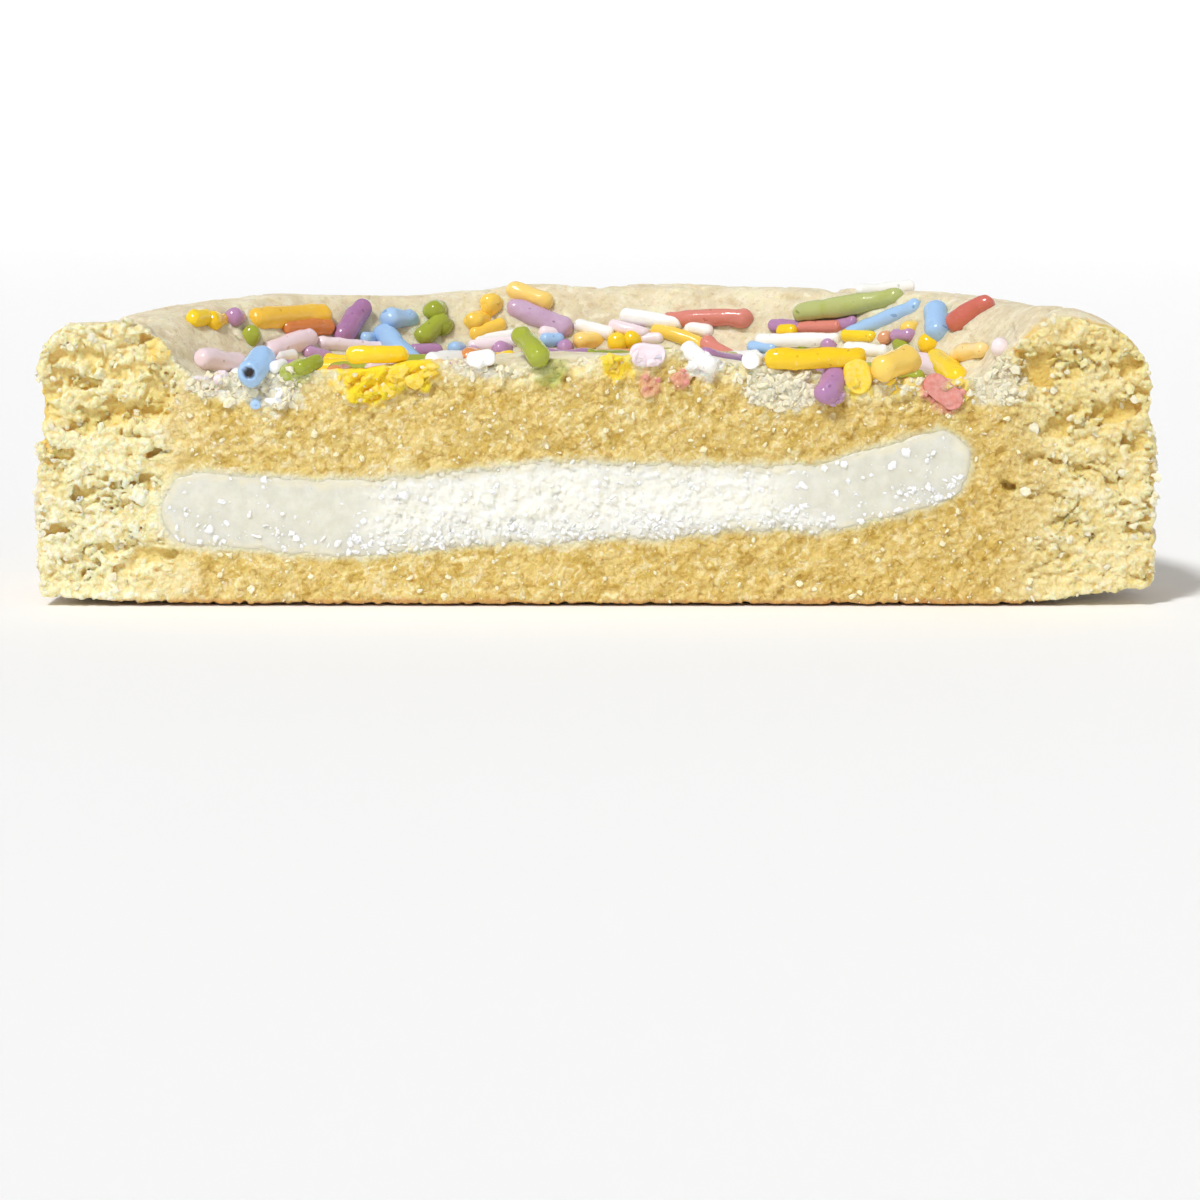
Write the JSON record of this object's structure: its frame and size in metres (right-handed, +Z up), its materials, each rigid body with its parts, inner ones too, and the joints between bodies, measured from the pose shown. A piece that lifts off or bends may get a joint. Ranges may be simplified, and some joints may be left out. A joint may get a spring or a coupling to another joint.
{
  "type": "sprinkle cookie",
  "caption": "Half of a thick round sugar cookie with a dished sprinkle-covered top and a cream filling that shows on the cut face.",
  "frame": {"origin": "middle of the bounding box's floor, on the flat base", "axes": "+Z up; the flat cut face looks along -Y; +X runs along the cut face towards its thicker right end"},
  "size_m": [0.0902, 0.0446, 0.0239],
  "materials": {
    "baked_dough": "matte, crumbly where it is cut",
    "cream_filling": "soft satin, granular where it is cut"
  },
  "bodies": {
    "root": {"dough": "baked_dough", "filling": "cream_filling"}
  },
  "joints": []
}
